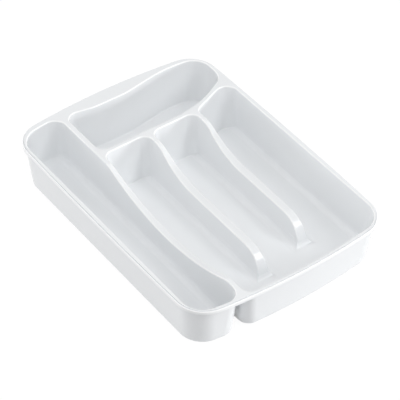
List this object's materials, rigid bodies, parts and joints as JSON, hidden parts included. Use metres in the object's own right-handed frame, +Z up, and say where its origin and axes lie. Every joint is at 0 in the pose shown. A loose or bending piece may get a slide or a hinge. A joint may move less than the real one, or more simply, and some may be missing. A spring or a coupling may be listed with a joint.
{
  "type": "cutlery tray",
  "caption": "White moulded cutlery tray with a long side compartment, open bays with dipping dividers, a curved cross compartment at the rear and a turned-down rim.",
  "frame": {"origin": "middle of the tray's underside, on the surface it stands on", "axes": "+Y along the tray towards the rear cross compartment, +X to the right seen from the front, +Z up"},
  "size_m": [0.241, 0.34, 0.0525],
  "materials": {
    "white_plastic": "smooth injection-moulded, glossy"
  },
  "bodies": {
    "root": {"rim_lip": "white_plastic", "top_land": "white_plastic", "long_tub": "white_plastic", "rear_tub": "white_plastic", "main_tub": "white_plastic", "long_divider": "white_plastic", "middle_divider": "white_plastic", "right_divider": "white_plastic"}
  },
  "joints": []
}
